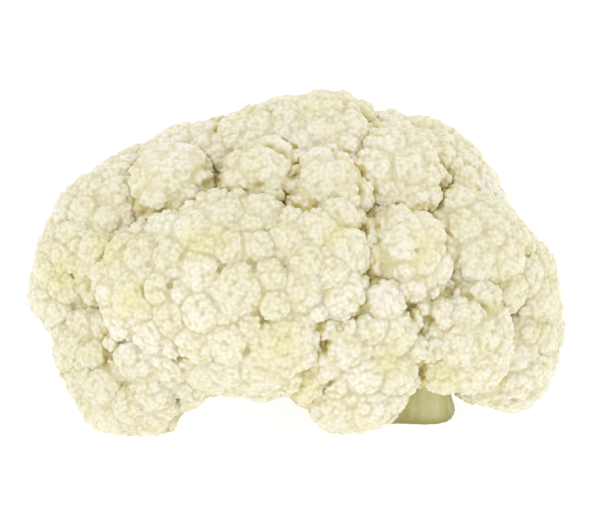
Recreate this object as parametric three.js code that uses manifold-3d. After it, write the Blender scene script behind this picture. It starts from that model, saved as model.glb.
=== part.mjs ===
// Trimmed head of white cauliflower: a curd of fused lobes and florets, grown round a cut stalk.
// Millimetres, +Z up, the head's face towards -Y, resting on its low lobes and on the stalk's cut face.
import * as THREE from 'three';
import { ConvexHull } from 'three/addons/math/ConvexHull.js';
import { mergeVertices } from 'three/addons/utils/BufferGeometryUtils.js';
import Module from 'manifold-3d';

// The face of the head is laid out in a plane square to a sight line that looks slightly down on it.
const SIGHT_DROP = THREE.MathUtils.degToRad(12);
const SIGHT_DISTANCE = 700;
const SIGHT_TARGET = new THREE.Vector3(1.7, 0, 51.6);

// Lobes of the curd: x, y, z of the middle and radius.
const LOBES = [
  // the mass of the head behind the lobes
  [0, 4, 50, 43], [-35, 6, 46, 38], [35, 5, 46, 39],
  // front
  [-17, -37, 48, 28.5], [7, -42, 58, 16], [-9, -42, 35, 20], [-42, -39, 50, 16],
  [-43, -33, 20, 15], [21, -42, 39, 14.5], [23, -35, 17, 15],
  // left side
  [-60, -21, 25, 16], [-55, -30, 14, 14], [-48, -33, 11.5, 10.5], [-69, -8, 42, 17], [-58, -8, 63, 19.5], [-61, -20, 54, 12],
  // crown
  [-39, -24, 79, 9.5], [-35, 4, 75, 17], [-14, -1, 83, 15], [9, -4, 85, 18], [-9, -27, 81, 9.5],
  [11, -31, 77, 10.5], [31, -15, 77, 14], [27, 7, 82, 14], [46, 8, 73, 19],
  // right side
  [34, -35, 59, 11.5], [38, -31, 37, 12], [60, -14, 57, 18], [52, -30, 31, 14], [71, -3, 36, 17],
  [69, -2, 50, 14], [70, -10, 16, 13],
  // back
  [-49, 32, 55, 23], [-2, 44, 57, 26], [47, 37, 51, 23], [-43, 40, 21, 18], [39, 42, 20, 18],
  [-2, 51, 23, 20], [-68, 17, 29, 17], [68, 21, 29, 16], [4, 26, 78, 19],
];

// Outline of the head in the sight plane: across and up, clockwise from the left.
const OUTLINE = [
  [-90, -11], [-90.3, -15], [-89, -19], [-86.3, -21.7], [-83.7, -24.7], [-82, -28.3], [-82, -32.3],
  [-81, -36.7], [-79.3, -41], [-76.7, -45], [-74, -49], [-72, -53.3], [-70, -55.7], [-66, -58],
  [-61.7, -59.3], [-55.7, -59.7], [-50, -60], [-44, -60], [-42, -57], [-41, -52.3], [-36.7, -51],
  [-33.3, -49], [-31, -47], [-25, -46.5], [-18.3, -46.5], [-16, -48], [-11.7, -48.7],
  [-8.3, -47.7], [-2.7, -46.7], [-1, -49], [2.7, -51], [5, -55], [7.3, -58.7], [11.7, -59.7],
  [16.7, -58.7], [20.7, -58.7], [25, -57.3], [30, -56], [33.3, -52.7], [36, -46], [40, -43.5],
  [46, -45.5], [50.7, -47.7], [54, -47.7], [56.7, -49],
  [61.7, -49.7], [66.7, -51], [66.7, -53.7], [71.7, -53], [76, -51], [80.3, -47], [82.7, -43],
  [85, -38.3], [86.7, -32.3], [87.7, -26.7], [87.3, -20], [86.3, -14.3], [85.7, -8.3], [85, -3.3],
  [83.7, 0], [81.7, 3], [78.3, 5.7], [75, 9.3], [72.3, 12.3], [69.3, 16.7], [67.3, 21],
  [66.3, 24.3], [64, 28.3], [61, 32.7], [57.3, 36.3], [54, 39], [50, 42.3], [45.7, 45], [40, 46],
  [35, 47.3], [30, 48.2], [28.3, 47.7], [26, 47.3], [24, 49.3], [21.7, 52], [19, 54], [16.7, 55.3],
  [13.3, 55.7], [8.3, 55.3], [4, 54], [0, 52.7], [-5, 52.7], [-8.3, 52.7], [-10.7, 51.3],
  [-14.3, 49.7], [-17.7, 49], [-20, 47.7], [-25, 46.7], [-29.3, 44.7], [-33.3, 43.7],
  [-37.3, 44.3], [-41.7, 43], [-45, 41.3], [-48.3, 38.7], [-51.7, 36.7], [-55, 36.3],
  [-57.7, 35.3], [-60, 33.7], [-63.3, 31.7], [-66.7, 29.3], [-70, 27], [-73.3, 25.7],
  [-76.7, 22.7], [-79.7, 19.3], [-81.7, 16], [-83.7, 11.7], [-85.3, 7.7], [-87, 3.3], [-88, 0],
  [-88.7, -5], [-89.7, -8.3],
];

// Florets of the face in the sight plane: across, up and radius.
const FACE_FLORETS = [
  // big front lobe
  [-44, -1, 6], [-36, 9, 6.7], [-34, -5.7, 5.7], [-24.7, 14.3, 6], [-23.3, 2.7, 4.7],
  [-15, 3.3, 4.7], [-12.7, 15.7, 6], [-21, -12, 8], [-9.3, -7, 4.3], [-3.3, 5, 5.7],
  [1, -12.3, 6.3], [2, -2.3, 5.3], [5.3, 9.7, 5.7], [16.7, 3, 6.7], [13.3, 13.3, 4.7],
  // its left end
  [-54, 1.7, 6], [-56.7, -15, 7.3], [-44, -21, 6], [-54.7, -35.7, 6], [-45, -37.7, 6.3],
  [-50, -47, 6],
  // its lower edge
  [-24.7, -30.3, 7], [-35.3, -31, 6], [-5.3, -31.7, 10.7], [-12.7, -41.7, 6.7],
  [-31.7, -42.3, 6.7], [2.7, -43, 5],
  // front right lobe and its foot
  [15, -14.3, 6.3], [28.7, -13.7, 5.7], [33.3, -26.3, 6.3], [24, -25, 4], [14.3, -31, 5.3],
  [21.3, -40.3, 6.3], [33.3, -40.3, 6], [11, -52, 6], [24, -51.7, 6.3], [32, -49, 4],
  // set-back lobes right of the front
  [32.7, 5.7, 7.3], [25.3, 7, 4], [41.3, -0.3, 5.7], [36, -10.3, 4], [45.3, -11, 4],
  [40, -19, 2.7], [46.7, -21, 4.3], [43.3, -29.7, 3.7], [46.7, -5, 4],
  // lobe over the stalk
  [55, -19, 5.3], [62, -26.3, 5.3], [52.7, -30.3, 5.3], [45, -39.7, 6], [57.3, -39.7, 6],
  // right side and right foot
  [51.3, 17, 6], [64.7, 13.7, 7.3], [58, -2.3, 7], [70, -1, 6], [69.3, -13.7, 5.7],
  [80, -1.7, 5.7], [80, -15, 6], [74, -25.7, 5.3], [82, -27.7, 5.3], [70, -32.3, 5.3],
  [72, -42.3, 5.3], [79.7, -39, 4.7], [60.7, -46.3, 4], [69.3, -49.7, 4],
  // upper right
  [30.7, 40.3, 5.7], [36, 29.7, 6.3], [28, 19.7, 4.3], [36.7, 17.7, 4.7], [42.7, 25.7, 3.7],
  [31.3, 45, 4], [38.7, 40.3, 4.7], [46.7, 40.3, 5.3], [55.3, 33, 5.7], [46.7, 31.7, 4],
  [62, 25.7, 5], [54, 23.7, 4],
  // crown
  [8.7, 24.3, 7.3], [-12.7, 27.7, 7], [-20, 23.7, 4], [14.7, 19.7, 4], [-3.3, 23, 3],
  [-12.7, 41.7, 5], [-4.7, 45, 5], [6.7, 49.7, 6.7], [7.3, 40.3, 4.3], [16.7, 42.3, 5.7],
  [0, 35.7, 4.3], [22, 47.7, 4], [15, 35, 4.3], [-8.3, 51, 4],
  // upper left
  [-42.7, 27, 6.7], [-48, 18.3, 4], [-37.3, 19.7, 3.3], [-41.3, 39, 6], [-30.7, 39, 5.7],
  [-21.3, 42.3, 5], [-26, 31.7, 4.3], [-50, 35, 4], [-56.7, 31.7, 4.3], [-64.7, 27.7, 4.3],
  [-69.3, 21, 4.3], [-60, 20.3, 5.7], [-71.3, 13.7, 4.3], [-77.3, 14.3, 4.3], [-56.7, 13, 4],
  [-64, 11, 4], [-66.7, 1.7, 5.7], [-65.3, -7, 4.3], [-73.3, 6.3, 3.7],
  // left side and left foot
  [-82.7, 5.7, 5], [-77.3, -0.3, 4.3], [-84.7, -5.7, 5.3], [-76.7, -10.3, 4.3], [-85.3, -15, 5],
  [-78.7, -19, 4.3], [-70, -4.3, 3.3], [-71.3, -22.3, 5.7], [-64, -24.3, 4.7], [-75.3, -31.7, 5.3],
  [-67.3, -33.7, 4.7], [-73.3, -43, 5.3], [-64.7, -44.3, 5.3], [-64, -53, 5.3], [-56, -49.7, 5],
  [-49.3, -54.3, 5], [-45.5, -51, 4], [-69.3, -49.7, 4], [-79.3, -26.3, 3.7],
];

// A floret stands this share of its radius below the skin of its lobe, and swells by this factor.
const FLORET_SUNK = 0.32;
const FLORET_SWELL = 1.05;
// Florets that the sides, back and crown carry beyond the face: spacing, radius and its spread.
const FILL_SPACING = 13;
const FILL_RADIUS = 7;
const FILL_SPREAD = 2;
const FILL_CLOSENESS = 0.74;
const GOLDEN_ANGLE = Math.PI * (3 - Math.sqrt(5));

// Skin of a lobe: points round each floret, the share of its radius that they stand at, the
// spacing of the points where no floret grows, and the least distance between two points.
const RING_POINTS = 4;
const RING_SHARE = 0.66;
const BARE_SPACING = 18;
const BARE_CLEARANCE = 9;
const POINT_CLEARANCE = 1.6;

// Cut stalk: middle of its foot, radius, flare at the cut, flutes, and height where it branches.
const STALK_X = 31;
const STALK_Y = -3;
const STALK_RADIUS = 19.5;
const STALK_FLARE = 2.2;
const STALK_FLUTES = 7;
const STALK_FLUTE_DEPTH = 0.9;
const STALK_HEIGHT = 27;
// Branches of the stalk: x, y, z of the tip and radius there, all inside the curd.
const BRANCH_ROOT = [29, -2, 15];
const BRANCH_ROOT_RADIUS = 9.5;
const BRANCHES = [
  [-34, 2, 32, 6], [-14, -24, 32, 5.5], [8, -24, 32, 5], [40, -18, 33, 5],
  [56, -4, 33, 5.5], [54, 26, 32, 6], [22, 36, 31, 6], [-14, 30, 32, 6],
];
// Hollow under the head, round the stalk: middle and half widths.
const HOLLOW_MIDDLE = [14, 3, -4];
const HOLLOW_HALF = [45, 37, 25];
// Clearance that keeps the stalk and the curd apart where they meet.
const FIT_GAP = 0.3;

const CURD_COLOUR = 0xeae3c8;
const STALK_COLOUR = 0xb9b583;

const FORWARD = new THREE.Vector3(0, Math.cos(SIGHT_DROP), -Math.sin(SIGHT_DROP));
const UPWARD = new THREE.Vector3(0, Math.sin(SIGHT_DROP), Math.cos(SIGHT_DROP));
const ACROSS = new THREE.Vector3(1, 0, 0);
const EYE = SIGHT_TARGET.clone().addScaledVector(FORWARD, -SIGHT_DISTANCE);

// Repeatable draws between 0 and 1.
function drawsFrom(seed) {
  let state = seed;
  return () => {
    state = (Math.imul(state, 1664525) + 1013904223) >>> 0;
    return state / 4294967296;
  };
}

// Direction number i of n spread evenly over a sphere.
function spreadDirection(i, n, turn) {
  const z = 1 - (2 * (i + 0.5)) / n;
  const reach = Math.sqrt(1 - z * z);
  const angle = i * GOLDEN_ANGLE + turn;
  return new THREE.Vector3(reach * Math.cos(angle), reach * Math.sin(angle), z);
}

// Depth inside the outline of a place in the sight plane, and the way further in.
function insideOutline(across, up) {
  let best = { distance: Infinity };
  OUTLINE.forEach(([ax, ay], i) => {
    const [bx, by] = OUTLINE[(i + 1) % OUTLINE.length];
    const [ex, ey] = [bx - ax, by - ay];
    const along = ((across - ax) * ex + (up - ay) * ey) / (ex * ex + ey * ey);
    const t = Math.min(1, Math.max(0, along));
    const [dx, dy] = [across - ax - t * ex, up - ay - t * ey];
    const distance = Math.hypot(dx, dy);
    if (distance < best.distance) {
      const side = ex * dy - ey * dx > 0 ? 1 : -1;
      best = { distance, side, dx: dx / distance, dy: dy / distance };
    }
  });
  return { depth: best.distance * best.side, inX: best.dx * best.side, inY: best.dy * best.side };
}

// Moves a ball sideways until it lies within the outline.
function settle(one) {
  const offset = one.centre.clone().sub(EYE);
  const scale = SIGHT_DISTANCE / offset.dot(FORWARD);
  const place = insideOutline(offset.dot(ACROSS) * scale, offset.dot(UPWARD) * scale);
  const lack = one.radius * scale - place.depth;
  if (lack > 0) {
    one.centre.addScaledVector(ACROSS, (place.inX * lack) / scale);
    one.centre.addScaledVector(UPWARD, (place.inY * lack) / scale);
  }
  return one;
}

// Puts a floret of the face on the first lobe that its sight line meets, or on the nearest lobe.
function addFaceFloret(lobes, [across, up, radius]) {
  const sight = FORWARD.clone().multiplyScalar(SIGHT_DISTANCE);
  sight.addScaledVector(ACROSS, across).addScaledVector(UPWARD, up).normalize();
  const meet = { distance: Infinity, lobe: null };
  const pass = { gap: Infinity, distance: 0, lobe: null };
  for (const lobe of lobes) {
    const offset = EYE.clone().sub(lobe.centre);
    const along = -offset.dot(sight);
    const aside = Math.sqrt(Math.max(0, offset.lengthSq() - along * along));
    if (aside < lobe.radius) {
      const distance = along - Math.sqrt(lobe.radius ** 2 - aside ** 2) + FLORET_SUNK * radius;
      if (distance < meet.distance) {
        Object.assign(meet, { distance, lobe });
      }
    } else if (aside - lobe.radius < pass.gap) {
      Object.assign(pass, { gap: aside - lobe.radius, distance: along, lobe });
    }
  }
  const { distance, lobe } = meet.lobe ? meet : pass;
  const centre = EYE.clone().addScaledVector(sight, distance);
  lobe.florets.push(settle({ centre, radius: radius * FLORET_SWELL }));
}

function inHollow(point) {
  const terms = point.toArray().map((v, i) => ((v - HOLLOW_MIDDLE[i]) / HOLLOW_HALF[i]) ** 2);
  return terms[0] + terms[1] + terms[2] < 1;
}

// Covers the open parts of each lobe that the face leaves bare.
function addFillFlorets(lobes) {
  const draw = drawsFrom(41);
  for (const lobe of lobes) {
    const count = Math.ceil((4 * Math.PI * lobe.radius ** 2) / (FILL_SPACING ** 2 * 0.87));
    const turn = draw() * 2 * Math.PI;
    for (let i = 0; i < count; i += 1) {
      const radius = FILL_RADIUS + (draw() - 0.5) * FILL_SPREAD;
      const way = spreadDirection(i, count, turn);
      const centre = lobe.centre.clone().addScaledVector(way, lobe.radius - FLORET_SUNK * radius);
      const floret = settle({ centre, radius: radius * FLORET_SWELL });
      const top = centre.clone().addScaledVector(way, radius);
      const buried = lobes.some((other) => other.centre.distanceTo(top) < other.radius + 1);
      const crowded = lobes.some((other) => other.florets.some((near) =>
        near.centre.distanceTo(centre) < FILL_CLOSENESS * (near.radius + floret.radius)));
      if (centre.z > 2.5 && !buried && !crowded && !inHollow(centre)) {
        lobe.florets.push(floret);
      }
    }
  }
}

// Farthest point of the balls along a direction from a place, and the ball it belongs to.
function outermost(balls, from, way) {
  let best = { distance: 1, owner: null };
  for (const one of balls) {
    const offset = one.centre.clone().sub(from);
    const along = offset.dot(way);
    const square = along * along - offset.lengthSq() + one.radius ** 2;
    if (square > 0 && along + Math.sqrt(square) > best.distance) {
      best = { distance: along + Math.sqrt(square), owner: one };
    }
  }
  return best;
}

// Triangles of the convex hull of directions, as triples of their indices.
function hullTriangles(directions) {
  const hull = new ConvexHull().setFromPoints(directions);
  const indexOf = new Map(directions.map((direction, i) => [direction, i]));
  return hull.faces.map((face) => {
    const corners = [];
    let edge = face.edge;
    do {
      corners.push(indexOf.get(edge.head().point));
      edge = edge.next;
    } while (edge !== face.edge);
    return corners;
  });
}

// Directions from a lobe's middle that catch each floret: its top, a ring round it, and the pits
// where the creases between florets meet. Bare parts of the lobe get evenly spread points.
function skinDirections(lobe) {
  const balls = [lobe, ...lobe.florets];
  const tops = [];
  for (const floret of lobe.florets) {
    const way = floret.centre.clone().sub(lobe.centre).normalize();
    if (outermost(balls, lobe.centre, way).owner === floret) {
      tops.push({ way, floret, width: floret.radius / floret.centre.distanceTo(lobe.centre) });
    }
  }
  const bare = Math.ceil((4 * Math.PI * lobe.radius ** 2) / BARE_SPACING ** 2);
  for (let i = 0; i < bare; i += 1) {
    const way = spreadDirection(i, bare, 0.3);
    if (tops.every((top) => top.way.distanceTo(way) > BARE_CLEARANCE / lobe.radius)) {
      tops.push({ way, floret: null, width: BARE_CLEARANCE / 2 / lobe.radius });
    }
  }
  const found = tops.map((top) => top.way);
  const keep = (way) => {
    if (found.every((other) => other.distanceTo(way) > POINT_CLEARANCE / lobe.radius)) {
      found.push(way);
    }
  };
  const between = (one, two) => {
    const apart = one.way.distanceTo(two.way);
    const share = THREE.MathUtils.clamp((apart + one.width - two.width) / (2 * apart), 0.25, 0.75);
    return one.way.clone().lerp(two.way, share);
  };
  for (const triple of hullTriangles(found.slice())) {
    const [a, b, c] = triple.map((i) => tops[i]);
    const creases = [[a, b], [b, c], [c, a]].filter(([one, two]) => one.floret || two.floret);
    const middles = creases.map(([one, two]) => between(one, two));
    if (middles.length > 1) {
      const pit = middles.reduce((sum, middle) => sum.clone().add(middle));
      keep(pit.normalize());
    }
    middles.forEach((middle) => keep(middle.normalize()));
  }
  const draw = drawsFrom(7);
  for (const { way, floret, width } of tops) {
    if (floret) {
      const side = new THREE.Vector3(0.1, 0.2, 1).cross(way).normalize();
      const rise = way.clone().cross(side);
      const turn = draw() * Math.PI;
      for (let k = 0; k < RING_POINTS; k += 1) {
        const angle = turn + (k * 2 * Math.PI) / RING_POINTS;
        const ring = way.clone().addScaledVector(side, Math.cos(angle) * width * RING_SHARE);
        ring.addScaledVector(rise, Math.sin(angle) * width * RING_SHARE).normalize();
        if (outermost(balls, lobe.centre, ring).owner === floret) {
          keep(ring);
        }
      }
    }
  }
  return found;
}

const wasm = await Module();
wasm.setup();

function toSolid(geometry) {
  const bare = geometry.index ? geometry.clone() : geometry;
  bare.deleteAttribute('normal');
  bare.deleteAttribute('uv');
  const merged = mergeVertices(bare, 1e-4);
  return new wasm.Manifold(new wasm.Mesh({
    numProp: 3,
    vertProperties: new Float32Array(merged.attributes.position.array),
    triVerts: new Uint32Array(merged.index.array),
  }));
}

function toGeometry(solid) {
  const mesh = solid.getMesh();
  const geometry = new THREE.BufferGeometry();
  geometry.setAttribute('position', new THREE.BufferAttribute(mesh.vertProperties, 3));
  geometry.setIndex(new THREE.BufferAttribute(mesh.triVerts, 1));
  return geometry;
}

// Keeps only the largest piece of a solid.
function largestPiece(solid) {
  const pieces = solid.decompose();
  return pieces.reduce((best, piece) => (piece.volume() > best.volume() ? piece : best));
}

// One lobe with its florets as a closed skin.
function makeLobe(lobe) {
  const balls = [lobe, ...lobe.florets];
  const directions = skinDirections(lobe);
  const points = directions.map((way) =>
    way.clone().multiplyScalar(outermost(balls, lobe.centre, way).distance).add(lobe.centre));
  const geometry = new THREE.BufferGeometry().setFromPoints(points);
  geometry.setIndex(hullTriangles(directions).flat());
  return toSolid(geometry);
}

// All lobes fused, cut level where the head rests on the ground.
function makeHead() {
  const lobes = LOBES.map(([x, y, z, radius]) =>
    ({ centre: new THREE.Vector3(x, y, z), radius, florets: [] }));
  FACE_FLORETS.forEach((entry) => addFaceFloret(lobes, entry));
  addFillFlorets(lobes);
  const ground = new THREE.BoxGeometry(400, 400, 60).translate(0, 0, -30);
  const whole = lobes.map(makeLobe).reduce((sum, lobe) => sum.add(lobe));
  return whole.subtract(toSolid(ground));
}

function makeHollow() {
  const geometry = new THREE.SphereGeometry(1, 28, 16).rotateX(Math.PI / 2);
  geometry.scale(...HOLLOW_HALF).translate(...HOLLOW_MIDDLE);
  return toSolid(geometry);
}

// Fluted column of the stalk, flared at its cut foot.
function makeColumn(grow, sunk) {
  const steps = 42;
  const levels = [[-sunk, 1], [1.2, 1], [5, 0.45], [11, 0.1], [19, 0], [STALK_HEIGHT + grow, 0.15]];
  const points = [];
  for (const [height, flare] of levels) {
    for (let k = 0; k < steps; k += 1) {
      const angle = (k / steps) * 2 * Math.PI;
      const flute = STALK_FLUTE_DEPTH * Math.cos(STALK_FLUTES * angle + 0.6);
      const oval = 0.7 * Math.cos(2 * angle + 0.8);
      const radius = STALK_RADIUS + STALK_FLARE * flare + flute + oval + grow;
      points.push(new THREE.Vector3(radius * Math.cos(angle), radius * Math.sin(angle), height));
    }
  }
  const low = points.push(new THREE.Vector3(0, 0, -sunk)) - 1;
  const high = points.push(new THREE.Vector3(0, 0, STALK_HEIGHT + grow)) - 1;
  const top = (levels.length - 1) * steps;
  const index = [];
  for (let k = 0; k < steps; k += 1) {
    const next = (k + 1) % steps;
    for (let level = 0; level < top; level += steps) {
      index.push(level + k, level + next, level + steps + next);
      index.push(level + k, level + steps + next, level + steps + k);
    }
    index.push(low, next, k, high, top + k, top + next);
  }
  const geometry = new THREE.BufferGeometry().setFromPoints(points);
  geometry.setIndex(index);
  return toSolid(geometry.translate(STALK_X, STALK_Y, 0));
}

// One tapered branch from inside the column out into the curd.
function makeBranch([x, y, z, radius], grow) {
  const root = new THREE.Vector3(...BRANCH_ROOT);
  const tip = new THREE.Vector3(x, y, z);
  const length = root.distanceTo(tip) + grow;
  const lean = tip.clone().sub(root).normalize();
  const geometry = new THREE.CylinderGeometry(radius + grow, BRANCH_ROOT_RADIUS + grow, length, 12);
  geometry.translate(0, length / 2, 0);
  const turn = new THREE.Quaternion().setFromUnitVectors(new THREE.Vector3(0, 1, 0), lean);
  return toSolid(geometry.applyQuaternion(turn).translate(root.x, root.y, root.z));
}

function makeStalk(grow, sunk) {
  const branches = BRANCHES.map((entry) => makeBranch(entry, grow));
  return branches.reduce((whole, branch) => whole.add(branch), makeColumn(grow, sunk));
}

function makePiece(name, solid, colour, roughness) {
  const material = new THREE.MeshStandardMaterial({ color: colour, roughness, metalness: 0 });
  const mesh = new THREE.Mesh(toGeometry(solid), material);
  mesh.name = name;
  return mesh;
}

const head = makeHead();
const curd = largestPiece(head.subtract(makeHollow()).subtract(makeStalk(FIT_GAP, 2)));
const stalk = makeStalk(0, 0);

const cauliflower = new THREE.Group();
cauliflower.add(makePiece('curd', curd, CURD_COLOUR, 0.62));
cauliflower.add(makePiece('stalk', stalk, STALK_COLOUR, 0.55));

// The origin is the middle of the bottom of the head's box.
const box = new THREE.Box3().setFromObject(cauliflower);
const middle = box.getCenter(new THREE.Vector3());
cauliflower.position.set(-middle.x, -middle.y, -box.min.z);

export default cauliflower;
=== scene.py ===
"""Looks of the trimmed cauliflower head: fused lobes of florets and buds on a cut stalk."""

import math

import bmesh
import bpy
import numpy as np
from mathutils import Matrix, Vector
from mathutils.kdtree import KDTree


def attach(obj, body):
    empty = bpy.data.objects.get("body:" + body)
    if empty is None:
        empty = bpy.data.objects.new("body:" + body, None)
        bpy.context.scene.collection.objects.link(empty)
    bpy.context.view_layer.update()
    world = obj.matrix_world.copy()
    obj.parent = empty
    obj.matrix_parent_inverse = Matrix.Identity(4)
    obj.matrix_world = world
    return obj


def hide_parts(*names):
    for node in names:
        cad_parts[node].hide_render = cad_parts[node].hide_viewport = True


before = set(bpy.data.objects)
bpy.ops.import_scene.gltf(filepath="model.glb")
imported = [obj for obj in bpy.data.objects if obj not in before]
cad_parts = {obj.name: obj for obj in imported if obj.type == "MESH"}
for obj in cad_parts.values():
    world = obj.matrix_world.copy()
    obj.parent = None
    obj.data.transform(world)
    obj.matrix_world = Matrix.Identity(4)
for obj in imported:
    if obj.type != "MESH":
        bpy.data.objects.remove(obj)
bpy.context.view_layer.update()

MM = 0.001
# The frame's origin is the middle of the bottom of the head's box. The layout moves by this, in mm.
LAYOUT_SHIFT = np.array([-0.479, -2.178, 0.0])

# Line of sight of the photograph, in the layout's own frame, in mm.
SIGHT_DROP = math.radians(12)
SIGHT_DISTANCE = 700.0
SIGHT_TARGET = np.array([1.7, 0.0, 51.6])
LENS = 126.0

# Lobes of the curd, each made of one or more balls: x, y, z of the middle and radius, in mm.
LOBES = [
    # the mass of the head behind the lobes
    [(0, 4, 50, 43)], [(-35, 6, 46, 38)], [(35, 5, 46, 36)],
    # front dome with the left foot, and the front right lobe
    [
        (-28, -34, 36, 12), (-17, -37, 48, 28.5), (7, -42, 58, 16), (-9, -42, 35, 20),
        (-42, -39, 50, 16), (-43, -33, 20, 15), (-48, -33, 11.5, 10.5),
    ],
    [(22, -38, 29, 14), (21, -42, 39, 14.5), (23, -35, 17, 15), (14, -41, 10.5, 9.5)],
    # left side
    [(-60, -21, 25, 16)], [(-55, -30, 14, 14)], [(-69, -8, 42, 17), (-75, -8, 52, 10)],
    [(-58, -8, 63, 19.5)], [(-61, -20, 54, 12)],
    # crown
    [(-39, -24, 79, 9.5)], [(-35, 4, 75, 17)], [(-9, -27, 81, 9.5)], [(11, -31, 77, 10.5)],
    [(9, -4, 85, 18), (-14, -1, 83, 15)], [(31, -15, 77, 14), (27, 7, 82, 14)], [(46, 8, 73, 19)],
    # right side
    [(34, -35, 59, 11.5)], [(38, -31, 37, 12)], [(60, -14, 57, 18)], [(52, -30, 31, 14)],
    [(71, -3, 36, 17), (69, -2, 50, 14), (70, -10, 16, 13), (68, -11, 9.5, 8)],
    # back
    [(-49, 32, 55, 23)], [(-2, 44, 57, 26)], [(47, 37, 51, 23)], [(-43, 40, 21, 18)],
    [(39, 42, 20, 18)], [(-2, 51, 23, 20)], [(-68, 17, 29, 17)], [(68, 21, 29, 16)],
    [(4, 26, 78, 19)],
    # small lobes in the hollows among the others
    [(-23, 26, 76, 13)], [(-64, 13, 55, 14)], [(66, 14, 54, 14)], [(28, 29, 73, 13)],
    [(-53, 10, 72, 12)], [(-24, 46, 38, 13)], [(22, 47, 36, 13)], [(60, 6, 66, 12)],
]

# Outline of the head in the sight plane: across and up, anticlockwise from the left, in mm.
OUTLINE = np.array([
    [-90, -11], [-90.3, -15], [-89, -19], [-86.3, -21.7], [-83.7, -24.7], [-82, -28.3],
    [-82, -32.3], [-81, -36.7], [-79.3, -41], [-76.7, -45], [-74, -49], [-72, -53.3],
    [-70, -55.7], [-66, -58], [-61.7, -59.3], [-55.7, -59.7], [-50, -60], [-44, -60], [-42, -57],
    [-41, -52.3], [-36.7, -51], [-33.3, -49], [-31, -47], [-25, -46.5], [-18.3, -46.5],
    [-16, -48], [-11.7, -48.7], [-8.3, -47.7], [-2.7, -46.7], [-1, -49], [2.7, -51], [5, -55],
    [7.3, -58.7], [11.7, -59.7], [16.7, -58.7], [20.7, -58.7], [25, -57.3], [30, -56],
    [33.3, -52.7], [36, -46], [40, -43.5], [46, -45.5], [50.7, -47.7], [54, -47.7], [56.7, -49],
    [61.7, -49.7], [66.7, -51], [66.7, -53.7], [71.7, -53], [76, -51], [80.3, -47], [82.7, -43],
    [85, -38.3], [86.7, -32.3], [87.7, -26.7], [87.3, -20], [86.3, -14.3], [85.7, -8.3],
    [85, -3.3], [83.7, 0], [81.7, 3], [78.3, 5.7], [75, 9.3], [72.3, 12.3], [69.3, 16.7],
    [67.3, 21], [66.3, 24.3], [64, 28.3], [61, 32.7], [57.3, 36.3], [54, 39], [50, 42.3],
    [45.7, 45], [40, 46], [35, 47.3], [30, 48.2], [28.3, 47.7], [26, 47.3], [24, 49.3],
    [21.7, 52], [19, 54], [16.7, 55.3], [13.3, 55.7], [8.3, 55.3], [4, 54], [0, 52.7],
    [-5, 52.7], [-8.3, 52.7], [-10.7, 51.3], [-14.3, 49.7], [-17.7, 49], [-20, 47.7],
    [-25, 46.7], [-29.3, 44.7], [-33.3, 43.7], [-37.3, 44.3], [-41.7, 43], [-45, 41.3],
    [-48.3, 38.7], [-51.7, 36.7], [-55, 36.3], [-57.7, 35.3], [-60, 33.7], [-63.3, 31.7],
    [-66.7, 29.3], [-70, 27], [-73.3, 25.7], [-76.7, 22.7], [-79.7, 19.3], [-81.7, 16],
    [-83.7, 11.7], [-85.3, 7.7], [-87, 3.3], [-88, 0], [-88.7, -5], [-89.7, -8.3],
])

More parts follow.
